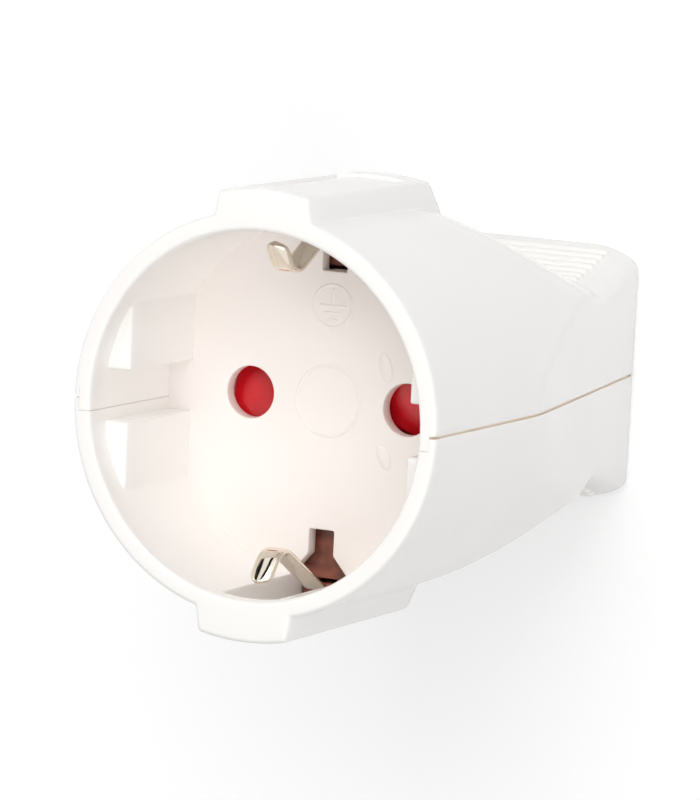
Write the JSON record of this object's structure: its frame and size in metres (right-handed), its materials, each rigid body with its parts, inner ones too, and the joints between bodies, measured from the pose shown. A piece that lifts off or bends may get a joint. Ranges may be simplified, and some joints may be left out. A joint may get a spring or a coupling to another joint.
{
  "type": "inline socket connector",
  "caption": "Round inline mains socket with a deep plug recess, guide lugs, sprung earth clips, red pin shutters and a waisted ribbed grip, in shells that part along a seam.",
  "frame": {"origin": "centre of the cable end's flat face, on which the connector stands with its mouth up", "axes": "+Z along the plug's way out of the mouth, X across the two pin holes, Y across the seam"},
  "size_m": [0.0432, 0.0482, 0.066],
  "materials": {
    "housing_abs": "glossy moulded",
    "insert_abs": "satin moulded",
    "shutter_plastic": "glossy moulded",
    "phenolic": "moulded",
    "nickel": "bright nickel plate",
    "brass": "stamped",
    "zinc_steel": "bright zinc plate",
    "spring_steel": "drawn wire"
  },
  "bodies": {
    "housing": {"upper_shell": "housing_abs", "lower_shell": "housing_abs", "contact_base": "insert_abs", "shutter_spring": "spring_steel", "contact_carrier": "phenolic", "carrier_screw": "zinc_steel", "earth_contact": "nickel", "earth_terminal": "brass", "earth_terminal_screw": "zinc_steel", "cord_clamp": "housing_abs", "line_contact": "brass", "line_terminal": "brass", "line_terminal_screw": "zinc_steel", "neutral_contact": "brass", "neutral_terminal": "brass", "neutral_terminal_screw": "zinc_steel", "housing_screw_left": "zinc_steel", "housing_screw_right": "zinc_steel", "cord_clamp_screw_left": "zinc_steel", "cord_clamp_screw_right": "zinc_steel"},
    "shutter": {"shutter": "shutter_plastic"}
  },
  "joints": [
    {"name": "shutter_turn", "type": "hinge", "parent": "housing", "child": "shutter", "pos_m": [0, 0, 0.0452], "axis": [0, 0, 1], "range_deg": [0, 40], "stiffness_Nm_per_rad": 0.002, "deforming": ["shutter_spring"]}
  ]
}
